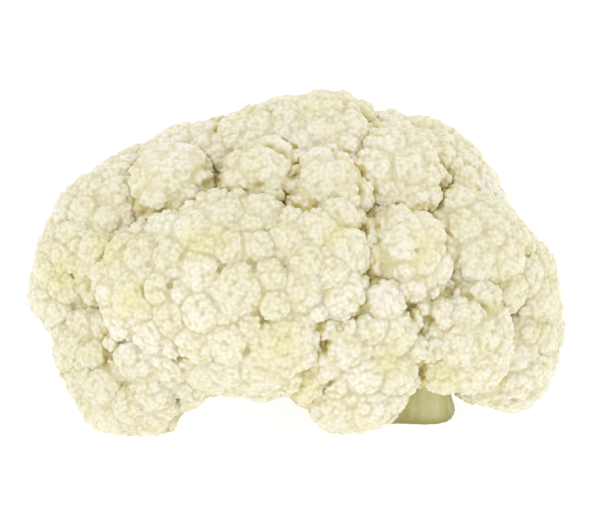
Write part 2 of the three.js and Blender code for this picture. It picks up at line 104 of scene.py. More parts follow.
# Florets of the face in the sight plane: across, up and radius, in mm.
FACE_FLORETS = [
    # big front lobe
    [-44, -1, 6], [-36, 9, 6.7], [-34, -5.7, 5.7], [-24.7, 14.3, 6], [-23.3, 2.7, 4.7],
    [-15, 3.3, 4.7], [-12.7, 15.7, 6], [-21, -12, 8], [-9.3, -7, 4.3], [-3.3, 5, 5.7],
    [1, -12.3, 6.3], [2, -2.3, 5.3], [5.3, 9.7, 5.7], [16.7, 3, 6.7], [13.3, 13.3, 4.7],
    # its left end
    [-54, 1.7, 6], [-56.7, -15, 7.3], [-44, -21, 6], [-54.7, -35.7, 6], [-45, -37.7, 6.3],
    [-50, -47, 6],
    # its lower edge
    [-24.7, -30.3, 7], [-35.3, -31, 6], [-5.3, -31.7, 10.7], [-12.7, -41.7, 6.7],
    [-31.7, -42.3, 6.7], [2.7, -43, 5],
    # front right lobe and its foot
    [15, -14.3, 6.3], [28.7, -13.7, 5.7], [33.3, -26.3, 6.3], [24, -25, 4], [14.3, -31, 5.3],
    [21.3, -40.3, 6.3], [33.3, -40.3, 6], [11, -52, 6], [24, -51.7, 6.3], [32, -49, 4],
    # set-back lobes right of the front
    [32.7, 5.7, 7.3], [25.3, 7, 4], [41.3, -0.3, 5.7], [36, -10.3, 4], [45.3, -11, 4],
    [40, -19, 2.7], [46.7, -21, 4.3], [43.3, -29.7, 3.7], [46.7, -5, 4],
    # lobe over the stalk
    [55, -19, 5.3], [62, -26.3, 5.3], [52.7, -30.3, 5.3], [45, -39.7, 6], [57.3, -39.7, 6],
    # right side and right foot
    [51.3, 17, 6], [64.7, 13.7, 7.3], [58, -2.3, 7], [70, -1, 6], [69.3, -13.7, 5.7],
    [80, -1.7, 5.7], [80, -15, 6], [74, -25.7, 5.3], [82, -27.7, 5.3], [70, -32.3, 5.3],
    [72, -42.3, 5.3], [79.7, -39, 4.7], [60.7, -46.3, 4], [69.3, -49.7, 4],
    # upper right
    [30.7, 40.3, 5.7], [36, 29.7, 6.3], [28, 19.7, 4.3], [36.7, 17.7, 4.7], [42.7, 25.7, 3.7],
    [31.3, 45, 4], [38.7, 40.3, 4.7], [46.7, 40.3, 5.3], [55.3, 33, 5.7], [46.7, 31.7, 4],
    [62, 25.7, 5], [54, 23.7, 4],
    # crown
    [8.7, 24.3, 7.3], [-12.7, 27.7, 7], [-20, 23.7, 4], [14.7, 19.7, 4], [-3.3, 23, 3],
    [-12.7, 41.7, 5], [-4.7, 45, 5], [6.7, 49.7, 6.7], [7.3, 40.3, 4.3], [16.7, 42.3, 5.7],
    [0, 35.7, 4.3], [22, 47.7, 4], [15, 35, 4.3], [-8.3, 51, 4],
    # upper left
    [-42.7, 27, 6.7], [-48, 18.3, 4], [-37.3, 19.7, 3.3], [-41.3, 39, 6], [-30.7, 39, 5.7],
    [-21.3, 42.3, 5], [-26, 31.7, 4.3], [-50, 35, 4], [-56.7, 31.7, 4.3], [-64.7, 27.7, 4.3],
    [-69.3, 21, 4.3], [-60, 20.3, 5.7], [-71.3, 13.7, 4.3], [-77.3, 14.3, 4.3], [-56.7, 13, 4],
    [-64, 11, 4], [-66.7, 1.7, 5.7], [-65.3, -7, 4.3], [-73.3, 6.3, 3.7],
    # left side and left foot
    [-82.7, 5.7, 5], [-77.3, -0.3, 4.3], [-84.7, -5.7, 5.3], [-76.7, -10.3, 4.3],
    [-85.3, -15, 5], [-78.7, -19, 4.3], [-70, -4.3, 3.3], [-71.3, -22.3, 5.7], [-64, -24.3, 4.7],
    [-75.3, -31.7, 5.3], [-67.3, -33.7, 4.7], [-73.3, -43, 5.3], [-64.7, -44.3, 5.3],
    [-64, -53, 5.3], [-56, -49.7, 5], [-49.3, -54.3, 5], [-45.5, -51, 4], [-69.3, -49.7, 4],
    [-79.3, -26.3, 3.7],
]

# Each lobe's balls are this much fuller than their layout radii, in mm.
LOBE_FILL = 2.0
# A lobe keeps this far inside the outline, to leave room for its florets, in mm.
EDGE_ROOM = 0.6
# A floret's ball may cross the outline by this much, in mm.
EDGE_GAIN = 0.7
# Softness of the joins among the balls of one lobe, in mm.
LOBE_BLEND = 4.0
# Softness of the joins between one lobe and the next, in mm.
JOIN_BLEND = 6.0
# Lobes whose reaches are no further apart than this are neighbours, in mm.
BESIDE_GAP = 12
# A blended lobe's skin is found in this many steps, from this far outside its reach, in mm.
SKIN_STEPS = 60
SKIN_START = 3
# Step by which the way out of a lobe is felt, in mm.
FEELER = 0.01
# A ball is moved into the outline in this many steps.
SETTLE_STEPS = 3

# A sight line is followed from this far before the target to this far beyond it, in mm.
SIGHT_BEFORE = 130
SIGHT_BEYOND = 120
# Its least step, and how close to a lobe it ends, in mm.
SIGHT_STEP = 0.3
SIGHT_TOUCH = 0.05

# Florets rise this far above their lobe, in mm, and a small one by this share of its radius.
FLORET_RISE = 2.5
SMALL_RISE = 0.62
# A floret is the top of a ball this much wider than the floret.
FLORET_SWELL = 1.62
# The skin between florets reaches this far below the lobe, in mm.
FLOOR_DROP = 3.0
# Waviness of the seams and its wavelength, in mm, and the shifts among its waves and axes.
WAVE = 0.4
WAVE_LENGTH = 11.0
WAVE_SHIFT = 1.7
AXIS_SHIFT = 2.3
# Depth of the groove along the seam between two florets, and of a dark pit, in mm.
SEAM_DEPTH = 0.32
PIT_DEPTH = 1.2
# A seam is full where the second floret lies this far below the first, and ends at the other.
SEAM_RANGE = (0.1, 1.2)
# Bare skin starts this far above any second one, so that it has no seam, in mm.
BARE_LEAD = 9

# Radii of the florets beyond the face and in its gaps, largest first, in mm.
FILL_RADII = [6.0, 5.2, 4.3, 3.4, 2.6, 2.0]
# A floret's foot keeps this share of its usual radius clear of the others' edges.
FILL_CLOSENESS = 0.8
# Places with no more than this to spare are chosen first, in mm.
FILL_SNUG = 0.9
# Its radius varies from this share of the usual one, by up to the spread.
FILL_LEAST = 0.92
FILL_SPREAD = 0.16
# Spacing of the places tried for florets, in mm.
FILL_GRID = 1.5
# A floret's top may lie this deep inside a neighbouring lobe, and its foot this low, in mm.
FILL_OVERLAP = 2.2
LOWEST_FOOT = 1.0

# The skin gets painted shade where a step this long outwards from it ends close to the next lobe,
# in mm.
CLEFT_PROBE = 4.0
CLEFT_RANGE = (1.0, 5.0)
# The join of two lobes is full this near its middle, and a pit marks it this far, in mm.
JOIN_CORE = 0.5
JOIN_WIDTH = 2.5

# Knobs of the florets: least spacing and height, in mm.
KNOB_SPACING = 3.7
KNOB_HEIGHT = 0.65
# Share of their height that lies below the skin, and how much a seam lowers them.
KNOB_LEVEL = 0.55
KNOB_FADE = 0.5
# The same for the buds all over.
BUD_SPACING = 1.55
BUD_HEIGHT = 0.37
BUD_LEVEL = 0.4
BUD_FADE = 0.3
# Width of a knob or bud as a share of its spacing, and how far it varies.
DOME_WIDTH = 0.56
DOME_SPREAD = 0.14
# Sharpness of the creases among them, how many are blended at a place, and their lowest level.
DOME_SHARPNESS = 7.0
DOMES_NEAR = 3
DOME_FLOOR = -0.7

# Finest edge of the skin in view, and of the smooth skin inside the hollow, in mm.
FINE_EDGE = 0.43
UNDER_EDGE = 1.2
# An edge is split where it is this many times its limit.
COARSE = 1.6
# Splits of the first sphere of directions, and the most that follow.
FIRST_SPLITS = 5
MOST_SPLITS = 4
# Skin is split, and carved, as far as this inside a neighbouring lobe, in mm.
SPLIT_GAP = -0.8
CARVED_GAP = -1.2
# The curd's buds fade out over this depth inside the hollow, in mm.
RIM = 9.0
# The skin is smooth past this share of the fade. GROUND marks the flat feet.
SMOOTH = 0.99
GROUND = 2.0
# Each lobe's flat foot lies this much above the last one's, so that no two coincide, in mm.
FOOT_STEP = 0.006
# A skin's flat map reaches this far from the middle of its square.
MAP_REACH = 0.46

# Deep pits on the face, deepened and darkened with painted shade: across and up in the sight plane,
# and radius, in mm.
PITS = [
    (-31.0, 25.0, 3.2), (-53.3, 14.3, 2.4), (-60.7, 5.0, 2.4), (-71.7, -11.0, 2.0),
    (-59.3, -27.0, 2.2), (-62.7, -35.7, 2.0), (-40.5, -31.7, 2.0), (-40.0, -35.5, 2.2),
    (-19.0, -32.5, 2.0), (-12.7, -21.2, 2.6), (-30.8, -19.0, 1.7), (-35.3, -22.0, 1.5),
    (-25.6, -5.0, 1.8), (-16.7, -3.8, 1.8), (-51.7, -12.3, 1.8), (-42.7, -10.0, 1.4),
    (-5.6, 34.3, 2.2), (-1.7, 26.5, 2.0), (-2.0, 18.8, 2.4), (-10.0, 36.7, 1.4),
    (-14.0, 23.3, 1.6), (20.7, 21.7, 2.2), (25.0, 10.0, 2.2), (21.0, 6.7, 1.8),
    (25.0, -4.3, 3.0), (7.5, -30.0, 1.9), (8.0, -25.0, 1.7), (10.0, -43.3, 1.8),
    (23.3, -21.0, 1.4), (37.3, -19.0, 2.2), (43.0, -22.0, 1.6), (40.0, -32.3, 2.0),
    (46.7, -31.7, 1.8), (39.0, 1.7, 1.1), (50.0, -11.7, 1.8), (55.7, -14.3, 2.0),
    (60.7, -17.5, 1.8), (71.0, -47.3, 1.6), (11.7, 31.7, 1.5),
]
# Yellow tints seen on the face, given the same way.
TINTS = [
    (41.7, -1.0, 4.5), (11.7, 6.7, 4.0), (-56.7, -15.0, 6.0), (2.7, -43.0, 5.0),
    (-35.0, 5.0, 6.0), (46.7, -40.0, 6.0), (-80.0, -6.7, 6.0), (-28.0, 5.0, 4.5),
    (-6.0, -29.0, 8.0), (-64.0, 2.0, 5.0), (30.0, -36.0, 5.0), (42.0, 3.0, 5.0),
]

# How sharply a pit or tint fades, and how far behind the target it still shows, in mm.
MARK_SHARPNESS = 0.9
MARK_DEPTH = 10

# Hollow under the head round the stalk: middle and half widths, in mm.
HOLLOW_MIDDLE = np.array([14.0, 3.0, -4.0])
HOLLOW_HALF = np.array([45.0, 37.0, 25.0])

# Cut stalk: middle of its foot, radius and height, in mm.
STALK_X, STALK_Y = 31.0, -3.0
STALK_RADIUS = 19.5
STALK_HEIGHT = 27.0
# Its flare at the cut, in mm, and the share of it at each height.
STALK_FLARE = 2.2
FLARE_HEIGHTS = [0, 1.2, 5, 11, 19, STALK_HEIGHT]
FLARE_SHARES = [1, 1, 0.45, 0.1, 0, 0.15]
# A corner and a flat of the foot on its right: size in mm, the way they face and their spread.
STALK_CORNER = 4.2
STALK_CORNER_WAY = -0.7
STALK_FLAT = 1.4
STALK_FLAT_WAY = 0.05
CORNER_SPREAD = 0.4
# Flutes, oval and fine ribs: number, depth in mm and turn.
STALK_FLUTES = 7
STALK_FLUTE_DEPTH = 0.9
FLUTE_TURN = 0.6
OVAL_DEPTH = 0.7
OVAL_TURN = 0.8
FINE_RIBS = 41
FINE_RIB_DEPTH = 0.16
# The fine ribs sway by this turn, at this rate for each mm of height.
RIB_SWAY = 1.3
RIB_SWAY_RATE = 0.21
# Sides and rings of the column, and the rings of its cut face as shares of its radius.
COLUMN_SIDES = 160
COLUMN_RINGS = 34
CUT_RINGS = (0.95, 0.9, 0.86, 0.82, 0.75, 0.55, 0.3)
# The cut face ends at this share of the radius, and its edge is drawn in by this much, in mm.
CUT_SHARE = 0.97
CUT_EDGE = 0.35
# Greener ring of the cut face: share of the radius, width and strength.
CUT_RING_SHARE = 0.84
CUT_RING_WIDTH = 0.04
CUT_RING_STRENGTH = 0.7
# A painted contact shadow round the foot, above the cut, fades over this height, in mm.
CONTACT_SHADOW_HEIGHT = 1.8

# Branches: their common root, its radius, and each one's tip and radius there, in mm.
BRANCH_ROOT = np.array([29.0, -2.0, 15.0])
BRANCH_ROOT_RADIUS = 9.5
BRANCHES = [
    (-34, 2, 32, 6), (-14, -24, 32, 5.5), (8, -24, 32, 5), (40, -18, 33, 5),
    (56, -4, 33, 5.5), (54, 26, 32, 6), (22, 36, 31, 6), (-14, 30, 32, 6),
]
BRANCH_SIDES = 48
BRANCH_RINGS = 24
# Ribs and fine ribs of a branch: number, and depth as a share of its radius.
BRANCH_RIBS = 5
BRANCH_RIB_DEPTH = 0.05
BRANCH_FINE_RIBS = 23
BRANCH_FINE_DEPTH = 0.012

# Seed of all the random draws.
SEED = 23

# The sight's own directions, and the camera's place.
FORWARD = np.array([0.0, math.cos(SIGHT_DROP), -math.sin(SIGHT_DROP)])
UPWARD = np.array([0.0, math.sin(SIGHT_DROP), math.cos(SIGHT_DROP)])
ACROSS = np.array([1.0, 0.0, 0.0])
EYE = SIGHT_TARGET - FORWARD * SIGHT_DISTANCE
# Ways of the crossed waves.
WAVE_WAYS = np.array([
    (0.62, 0.51, -0.59), (-0.35, 0.82, 0.45), (0.71, -0.28, 0.64), (0.12, 0.55, 0.83),
    (-0.86, 0.31, -0.40), (0.49, -0.73, -0.48),
])
# Turn from one direction to the next in an even spread over a sphere.
GOLDEN_ANGLE = math.pi * (3 - math.sqrt(5))


class Lobe:
    """One lobe of the curd: balls blended into one another, with the florets that grow on them."""

    def __init__(self, balls):
        self.radii = np.array([ball[3] for ball in balls]) + LOBE_FILL
        self.middles = np.array([
            settled(np.array(ball[:3], float), ball[3] + LOBE_FILL + EDGE_ROOM) for ball in balls
        ])
        self.centre = self.middles[0]
        self.extent = (np.linalg.norm(self.middles - self.centre, axis=1) + self.radii).max()
        self.florets = []
        self.beside = []

    def find_beside(self, lobes):
        """Notes the lobes that lie beside this one."""
        for other in lobes:
            apart = np.linalg.norm(other.centre - self.centre)
            if other is not self and apart < other.extent + self.extent + BESIDE_GAP:
                self.beside.append(other)

    def gap(self, points):
        """Distance of each point from the bare lobe, in mm. Negative inside it."""
        apart = np.linalg.norm(points[..., None, :] - self.middles, axis=-1) - self.radii
        if len(self.radii) == 1:
            return apart[..., 0]
        return -LOBE_BLEND * np.log(np.exp(-apart / LOBE_BLEND).sum(-1))

    def joined(self, points):
        """How far the skin swells at each point to meet the lobes beside it, in mm."""
        swell = np.zeros(points.shape[:-1])
        for other in self.beside:
            apart = other.gap(points)
            near = JOIN_BLEND * np.log1p(np.exp(-np.maximum(apart, 0) / JOIN_BLEND))
            swell = np.maximum(swell, near * ramp(-JOIN_BLEND, 0, apart))
        return swell

    def outward(self, points):
        """Way out of the bare lobe at each point."""
        step = np.eye(3) * FEELER
        near = points[..., None, :]
        return unit(self.gap(near + step) - self.gap(near - step))

    def bare_reach(self, ways):
        """Distance from the centre to the bare lobe's skin along each way."""
        if len(self.radii) == 1:
            return np.full(len(ways), self.radii[0])
        distance = np.full(len(ways), self.extent + SKIN_START)
        for _ in range(SKIN_STEPS):
            distance -= self.gap(self.centre + ways * distance[:, None])
        return distance


def unit(vectors):
    """Vectors of length one, along the last axis."""
    return vectors / np.linalg.norm(vectors, axis=-1, keepdims=True)


def ramp(low, high, values):
    """0 at low and 1 at high, smooth in between."""
    t = np.clip((values - low) / (high - low), 0.0, 1.0)
    return t * t * (3 - 2 * t)


def spread_directions(count, turn):
    """Directions spread evenly over a sphere."""
    i = np.arange(count)
    z = 1 - 2 * (i + 0.5) / count
    reach = np.sqrt(1 - z * z)
    angle = i * GOLDEN_ANGLE + turn
    return np.stack([reach * np.cos(angle), reach * np.sin(angle), z], axis=1)


def side_frame(way):
    """Two directions square to way and to each other."""
    side = unit(np.cross([0.1, 0.2, 1.0], way))
    return side, np.cross(way, side)


def sunk(radius):
    """How far the middle of a floret's ball lies below its lobe's skin, in mm."""
    return radius * FLORET_SWELL - min(FLORET_RISE, SMALL_RISE * radius)


def inside_outline(across, up):
    """Depth inside the outline of a place in the sight plane, and the way further in."""
    place = np.array([across, up])
    start = OUTLINE
    edge = np.roll(OUTLINE, -1, axis=0) - start
    along = ((place - start) * edge).sum(1) / (edge * edge).sum(1)
    offset = place - start - np.clip(along, 0, 1)[:, None] * edge
    distance = np.linalg.norm(offset, axis=1)
    k = int(distance.argmin())
    side = 1.0 if edge[k, 0] * offset[k, 1] - edge[k, 1] * offset[k, 0] > 0 else -1.0
    return distance[k] * side, offset[k] / distance[k] * side


def settled(centre, radius):
    """The centre of a ball, moved sideways until the ball lies within the outline."""
    for _ in range(SETTLE_STEPS):
        offset = centre - EYE
        scale = SIGHT_DISTANCE / (offset @ FORWARD)
        depth, inward = inside_outline(offset @ ACROSS * scale, offset @ UPWARD * scale)
        lack = max(radius * scale - depth, 0)
        centre = centre + (ACROSS * inward[0] + UPWARD * inward[1]) * lack / scale
    return centre


def add_floret(lobe, foot, radius):
    """Grows a floret round its foot on the lobe's bare skin."""
    out = lobe.outward(foot)
    foot = foot + out * lobe.joined(foot)
    centre = settled(foot - out * sunk(radius), radius * FLORET_SWELL - EDGE_GAIN)
    lobe.florets.append((centre, radius, foot, out))


def add_face_floret(lobes, across, up, radius):
    """Puts a floret on the first lobe that its sight line meets, or on the nearest lobe."""
    sight = unit(FORWARD * SIGHT_DISTANCE + ACROSS * across + UPWARD * up)
    distance = SIGHT_DISTANCE - SIGHT_BEFORE
    closest = (math.inf, distance, None)
    while distance < SIGHT_DISTANCE + SIGHT_BEYOND and closest[0] > SIGHT_TOUCH:
        gaps = [float(lobe.gap(EYE + sight * distance)) for lobe in lobes]
        nearest = min(gaps)
        if nearest < closest[0]:
            closest = (nearest, distance, lobes[gaps.index(nearest)])
        distance += max(nearest, SIGHT_STEP)
    _, distance, lobe = closest
    add_floret(lobe, EYE + sight * distance, radius)


def in_hollow(points):
    """True for each point inside the hollow under the head."""
    return (((points - HOLLOW_MIDDLE) / HOLLOW_HALF) ** 2).sum(-1) < 1


def add_fill_florets(lobes, rng):
    """Covers all open skin that the face leaves bare, with smaller and smaller florets."""
    for lobe in reversed(lobes):
        count = math.ceil(4 * math.pi * lobe.extent ** 2 / FILL_GRID ** 2)
        ways = spread_directions(count, rng.random() * 2 * math.pi)
        feet = lobe.centre + ways * lobe.bare_reach(ways)[:, None]
        tops = feet + lobe.outward(feet) * FLORET_RISE
        is_open = (feet[:, 2] > LOWEST_FOOT) & ~in_hollow(feet)
        for other in lobe.beside:
            is_open &= other.gap(tops) > -FILL_OVERLAP
        feet = feet[is_open]
        room = np.full(len(feet), np.inf)
        for other in [lobe] + lobe.beside:
            for _, radius, foot, _ in other.florets:
                room = np.minimum(room, np.linalg.norm(feet - foot, axis=1) - radius)
        for usual in FILL_RADII:
            least = usual * FILL_CLOSENESS
            while len(room) and room.max() > least:
                free = np.flatnonzero(room > least)
                snug = free[room[free] < least + FILL_SNUG]
                foot = feet[rng.choice(snug if len(snug) else free)]
                radius = usual * (FILL_LEAST + FILL_SPREAD * rng.random())
                add_floret(lobe, foot, radius)
                room = np.minimum(room, np.linalg.norm(feet - foot, axis=1) - radius)


# The skin of a lobe.

def wavy(points):
    """A smooth sideways waver of places, in mm, from crossed waves."""
    moved = np.zeros_like(points)
    for k in range(3):
        for row, turn in enumerate(WAVE_WAYS):
            phase = points @ turn * (2 * math.pi / WAVE_LENGTH) + WAVE_SHIFT * row + AXIS_SHIFT * k
            moved[:, (row + k) % 3] += np.sin(phase) * WAVE / 2
    return moved


def reach(lobe, ways):
    """Distance to a lobe's skin, how far it is cut back, nearness to a floret's top and seams."""
    bare = lobe.bare_reach(ways)
    bare += lobe.joined(lobe.centre + ways * bare[:, None]) - FLOOR_DROP
    best = bare
    second = bare - BARE_LEAD
    top = np.zeros(len(ways))
    start = (lobe.centre - HOLLOW_MIDDLE) / HOLLOW_HALF
    step = ways / HOLLOW_HALF
    ground = np.where(ways[:, 2] < -1e-6, lobe.centre[2] / np.maximum(-ways[:, 2], 1e-6), np.inf)
    ways = unit(ways * bare[:, None] + wavy(lobe.centre + ways * bare[:, None]))
    for centre, radius, _, out in lobe.florets:
        radius *= FLORET_SWELL
        offset = centre - lobe.centre
        along = ways @ offset
        square = along ** 2 - offset @ offset + radius ** 2
        edge = along + np.sqrt(np.maximum(square, 0))
        edge = np.where(square > 0, edge, 0)
        second = np.maximum(second, np.minimum(best, edge))
        top = np.where(edge > best, (edge * (ways @ out) - offset @ out) / radius, top)
        best = np.maximum(best, edge)
    a, b, c = (step * step).sum(1), step @ start, start @ start - 1
    square = b * b - a * c
    entry = np.where((square > 0) & (b < 0), (-b - np.sqrt(np.maximum(square, 0))) / a, np.inf)
    cut = np.minimum(entry, ground)
    under = np.where(ground < np.minimum(entry, best), GROUND, ramp(0.0, RIM, best - entry))
    return np.minimum(best, cut), under, top, 1 - ramp(*SEAM_RANGE, best - second)


def outer_gap(lobe, points):
    """Distance of each point from the nearest other bare lobe, in mm. Negative inside one."""
    gaps = np.full(len(points), np.inf)
    for other in lobe.beside:
        gaps = np.minimum(gaps, other.gap(points))
    return gaps


def vertex_ways(bm):
    """Directions of the vertices of a mesh round the origin."""
    return unit(np.array([v.co[:] for v in bm.verts]))


def lobe_mesh(lobe):
    """A sphere of directions, fine where the lobe's skin is open to view, and its skin."""
    bm = bmesh.new()
    bmesh.ops.create_icosphere(bm, subdivisions=FIRST_SPLITS, radius=1.0)
    for split in range(MOST_SPLITS + 1):
        ways = vertex_ways(bm)
        skin = reach(lobe, ways)
        points = lobe.centre + ways * skin[0][:, None]
        gaps = outer_gap(lobe, points)
        shown = (gaps > SPLIT_GAP) & (skin[1] < GROUND)
        limit = np.where(skin[1] > SMOOTH, UNDER_EDGE, FINE_EDGE)
        bm.verts.index_update()
        bm.faces.ensure_lookup_table()
        corners = np.array([[v.index for v in face.verts] for face in bm.faces])
        sides = np.linalg.norm(points[corners] - points[np.roll(corners, 1, axis=1)], axis=2)
        coarse = (sides.max(1) > COARSE * limit[corners].min(1)) & shown[corners].any(1)
        if split == MOST_SPLITS or not coarse.any():
            return bm, ways, points, gaps, skin
        edges = {edge for k in np.flatnonzero(coarse).tolist() for edge in bm.faces[k].edges}
        bmesh.ops.subdivide_edges(bm, edges=list(edges), cuts=1)
        bmesh.ops.triangulate(bm, faces=[f for f in bm.faces if len(f.verts) > 3])


def scattered(points, open_ones, spacing, rng):
    """Picks open points in random order, no two nearer than spacing, until none has room."""
    tree = KDTree(len(open_ones))
    for i, k in enumerate(open_ones.tolist()):
        tree.insert(points[k], i)
    tree.balance()
    free = np.ones(len(open_ones), bool)
    chosen = []
    for i in rng.permutation(len(open_ones)).tolist():
        if free[i]:
            centre = points[open_ones[i]]
            chosen.append(centre)
            free[[found[1] for found in tree.find_range(centre, spacing)]] = False
    return np.array(chosen)


def domes(centres, points, spacing, rng):
    """Height of rounded domes grown round the centres, 1 on top and about 0 where they meet."""
    tree = KDTree(len(centres))
    for i, centre in enumerate(centres.tolist()):
        tree.insert(centre, i)
    tree.balance()
    width = spacing * (DOME_WIDTH + DOME_SPREAD * rng.random(len(centres)))
    found = [tree.find_n(point, DOMES_NEAR) for point in points.tolist()]
    which = np.array([[hit[1] for hit in hits] for hits in found])
    apart = np.array([[hit[2] for hit in hits] for hits in found])
    height = 1 - (apart / width[which]) ** 2
    blended = np.log(np.exp(height * DOME_SHARPNESS).sum(1)) / DOME_SHARPNESS
    return np.clip(blended, DOME_FLOOR, 1.0)


def mesh_normals(mesh, points):
    """Vertex normals of the mesh with its vertices at points."""
    mesh.vertices.foreach_set("co", points.astype(np.float32).ravel())
    mesh.update()
    normals = np.empty(len(points) * 3, np.float32)
    mesh.vertex_normals.foreach_get("vector", normals)
    return normals.reshape(-1, 3).astype(float)


def add_bake_map(mesh, ways):
    """An eight-sided unfolding of the directions, as the piece's own flat map."""
    corners = np.empty(len(mesh.loops), np.int32)
    mesh.loops.foreach_get("vertex_index", corners)
    flat = ways / np.abs(ways).sum(1, keepdims=True)
    middle = ways[corners].reshape(-1, 3, 3).mean(1)
    side = np.where(middle[:, :2] < 0, -1.0, 1.0).repeat(3, axis=0)
    corner = flat[corners]
    low = corner[:, 2] < 0
    folded = (1 - corner[:, [1, 0]] * side[:, [1, 0]]) * side
    places = np.where(low[:, None], folded, corner[:, :2])
    layer = mesh.uv_layers.new(name="OFBake")
    layer.data.foreach_set("uv", (places * MAP_REACH + 0.5).astype(np.float32).ravel())


def add_values(mesh, name, values):
    """A number for each vertex, for the material to read."""
    layer = mesh.attributes.new(name, "FLOAT", "POINT")
    layer.data.foreach_set("value", values.astype(np.float32))


def seen_marks(points, marks):
    """How strongly each point lies on the pits or tints of the face, from 0 to 1."""
    offset = points - EYE
    ahead = offset @ FORWARD
    across = offset @ ACROSS * SIGHT_DISTANCE / ahead
    up = offset @ UPWARD * SIGHT_DISTANCE / ahead
    strength = np.zeros(len(points))
    for mark_across, mark_up, radius in marks:
        away = np.hypot(across - mark_across, up - mark_up) / radius
        strength = np.maximum(strength, np.exp(-away ** 2 * MARK_SHARPNESS))
    return strength * (ahead < SIGHT_DISTANCE + MARK_DEPTH)


def grow(mesh, points, chosen, heights):
    """Moves the chosen vertices outwards by their heights, in mm."""
    points[chosen] += mesh_normals(mesh, points)[chosen] * heights[:, None]


def add_piece(mesh, node):
    """Puts a mesh in the scene as a piece of one of the frame's nodes."""
    piece = bpy.data.objects.new(mesh.name, mesh)
    bpy.context.scene.collection.objects.link(piece)
    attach(piece, "root")
    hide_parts(node)


def make_lobe(number, lobe, material, rng):
    """One lobe of the curd as a closed piece with its florets, knobs and buds."""
    bm, ways, points, gaps, (_, under, top, seam) = lobe_mesh(lobe)
    mesh = bpy.data.meshes.new(f"curd_lobe_{number:02d}")
    bm.to_mesh(mesh)
    bm.free()

    shown = np.flatnonzero((gaps > CARVED_GAP) & (under < SMOOTH))
    knob = np.zeros(len(points))
    centres = scattered(points, shown, KNOB_SPACING, rng)
    knob[shown] = domes(centres, points[shown], KNOB_SPACING, rng)
    join = 1 - ramp(JOIN_CORE, JOIN_WIDTH, np.abs(gaps - lobe.gap(points)))
    # The pits are carved deeper here and take painted shade in the material.
    pit = seen_marks(points, PITS) * np.maximum(seam, join)
    tint = seen_marks(points, TINTS)
    groove = seam[shown] * SEAM_DEPTH + pit[shown] * PIT_DEPTH
    fade = 1 - under[shown]
    height = (knob[shown] - KNOB_LEVEL) * KNOB_HEIGHT * (1 - KNOB_FADE * seam[shown]) - groove
    grow(mesh, points, shown, height * fade)
    # Painted shade: how close the next lobe lies just outside the skin, for darkening the clefts
    # between lobes.
    facing = outer_gap(lobe, points + mesh_normals(mesh, points) * CLEFT_PROBE)
    bud = np.zeros(len(points))
    centres = scattered(points, shown, BUD_SPACING, rng)
    bud[shown] = domes(centres, points[shown], BUD_SPACING, rng)
    height = (bud[shown] - BUD_LEVEL) * BUD_HEIGHT * (1 - BUD_FADE * seam[shown])
    grow(mesh, points, shown, height * fade)
    points[:, 2] = np.maximum(points[:, 2], number * FOOT_STEP)

    mesh.vertices.foreach_set("co", ((points + LAYOUT_SHIFT) * MM).astype(np.float32).ravel())
    mesh.update()
    add_bake_map(mesh, ways)
    kept = {
        "floret": top, "seam": seam, "pit": pit, "tint": tint, "knob": knob,
        "bud": bud, "cleft_shade_mask": ramp(*CLEFT_RANGE, facing), "under": np.minimum(under, 1),
    }
    for name, values in kept.items():
        add_values(mesh, name, values)
    mesh.polygons.foreach_set("use_smooth", np.ones(len(mesh.polygons), bool))
    mesh.materials.append(material)
    add_piece(mesh, "curd")


# Materials.

